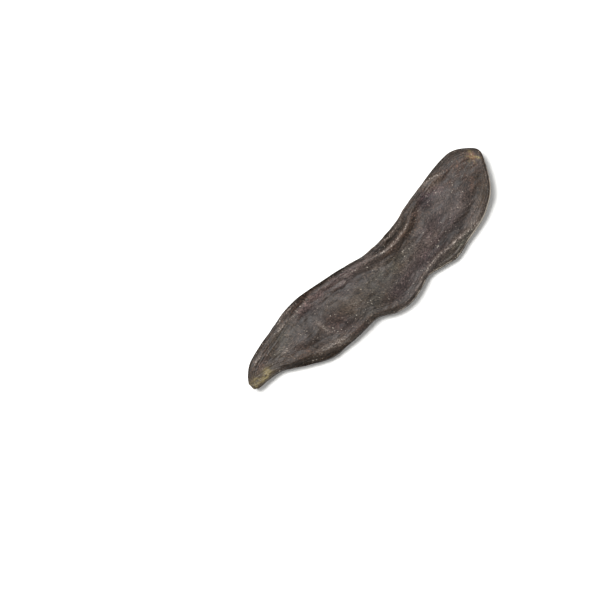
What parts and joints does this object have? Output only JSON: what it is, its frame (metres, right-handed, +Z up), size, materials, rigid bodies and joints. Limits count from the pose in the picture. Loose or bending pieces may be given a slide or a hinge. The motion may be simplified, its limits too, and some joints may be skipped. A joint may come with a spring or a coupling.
{
  "type": "carob pod",
  "caption": "Dried carob pod: one long flat fruit with thick grooved seams, a wavy outline and a gentle twist, lying on its broad side.",
  "frame": {"origin": "centre of the bounding box at the plane the pod lies on", "axes": "+X along the pod from its stem end to its blossom end, +Y across its broad side, +Z up through its thickness"},
  "size_m": [0.15, 0.0406, 0.0124],
  "materials": {
    "pod_skin": "dry leathery skin, matte with a dusty bloom"
  },
  "bodies": {
    "root": {"pod": "pod_skin"}
  },
  "joints": []
}
